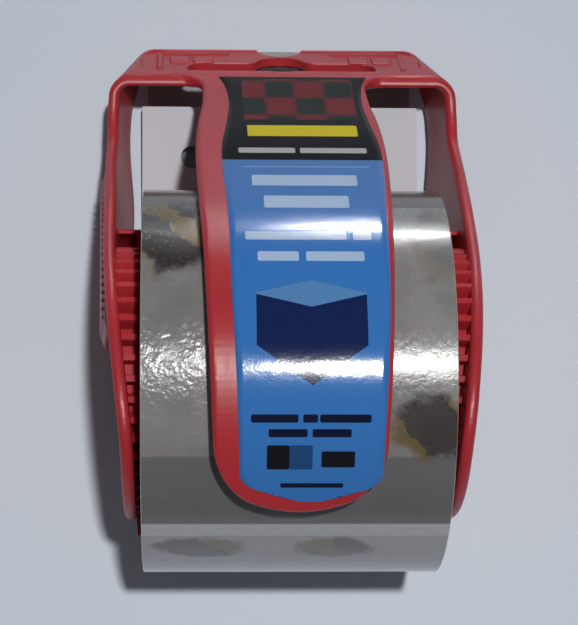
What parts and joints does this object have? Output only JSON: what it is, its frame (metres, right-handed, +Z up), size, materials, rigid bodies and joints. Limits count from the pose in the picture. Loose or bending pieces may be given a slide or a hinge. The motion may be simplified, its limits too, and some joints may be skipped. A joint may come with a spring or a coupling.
{
  "type": "packing tape dispenser",
  "caption": "Hand-held packing tape dispenser: moulded frame with sloping head, springy label arm and ribbed hubs, holding a wide roll of clear tape.",
  "frame": {"origin": "on the table under the middle of the part, which lies on its back", "axes": "+X along the roll's axis, +Y towards the head, +Z up, away from the table"},
  "size_m": [0.0636, 0.097, 0.0687],
  "materials": {
    "red_plastic": "satin moulded polypropylene",
    "label_film": "gloss film label",
    "blade_steel": "stamped steel strip",
    "core_board": "spiral-wound cardboard",
    "wrap_paper": "printed paper wrap",
    "clear_tape": "clear film wound on itself",
    "tail_tape": "single layer of clear film",
    "white_card": "coated white card"
  },
  "bodies": {
    "frame": {"head": "red_plastic", "cutter_blade": "blade_steel", "tape_tail": "tail_tape", "starter_card": "white_card"},
    "left_cheek": {"left_cheek": "red_plastic", "left_core_hub": "red_plastic"},
    "right_cheek": {"right_cheek": "red_plastic", "right_core_hub": "red_plastic"},
    "arm": {"label_arm": "red_plastic", "front_label": "label_film"},
    "roll": {"core": "core_board", "core_wrap": "wrap_paper", "tape_roll": "clear_tape"}
  },
  "joints": [
    {"name": "roll_spin", "type": "hinge", "parent": "frame", "child": "roll", "pos_m": [0, -0.01705, 0.0315], "axis": [1, 0, 0], "continuous": true},
    {"name": "right_cheek_flex", "type": "hinge", "parent": "frame", "child": "right_cheek", "pos_m": [0.0296, 0.03095, 0.0087], "axis": [0, 0, 1], "range_deg": [0, 5], "stiffness_Nm_per_rad": 1},
    {"name": "left_cheek_flex", "type": "hinge", "parent": "frame", "child": "left_cheek", "pos_m": [-0.0296, 0.03095, 0.0087], "axis": [0, 0, -1], "range_deg": [0, 5], "stiffness_Nm_per_rad": 1},
    {"name": "arm_flex", "type": "hinge", "parent": "frame", "child": "arm", "pos_m": [0, 0.03783, 0.01606], "axis": [-1, 0, 0], "range_deg": [-0.4, 10], "stiffness_Nm_per_rad": 0.6}
  ]
}
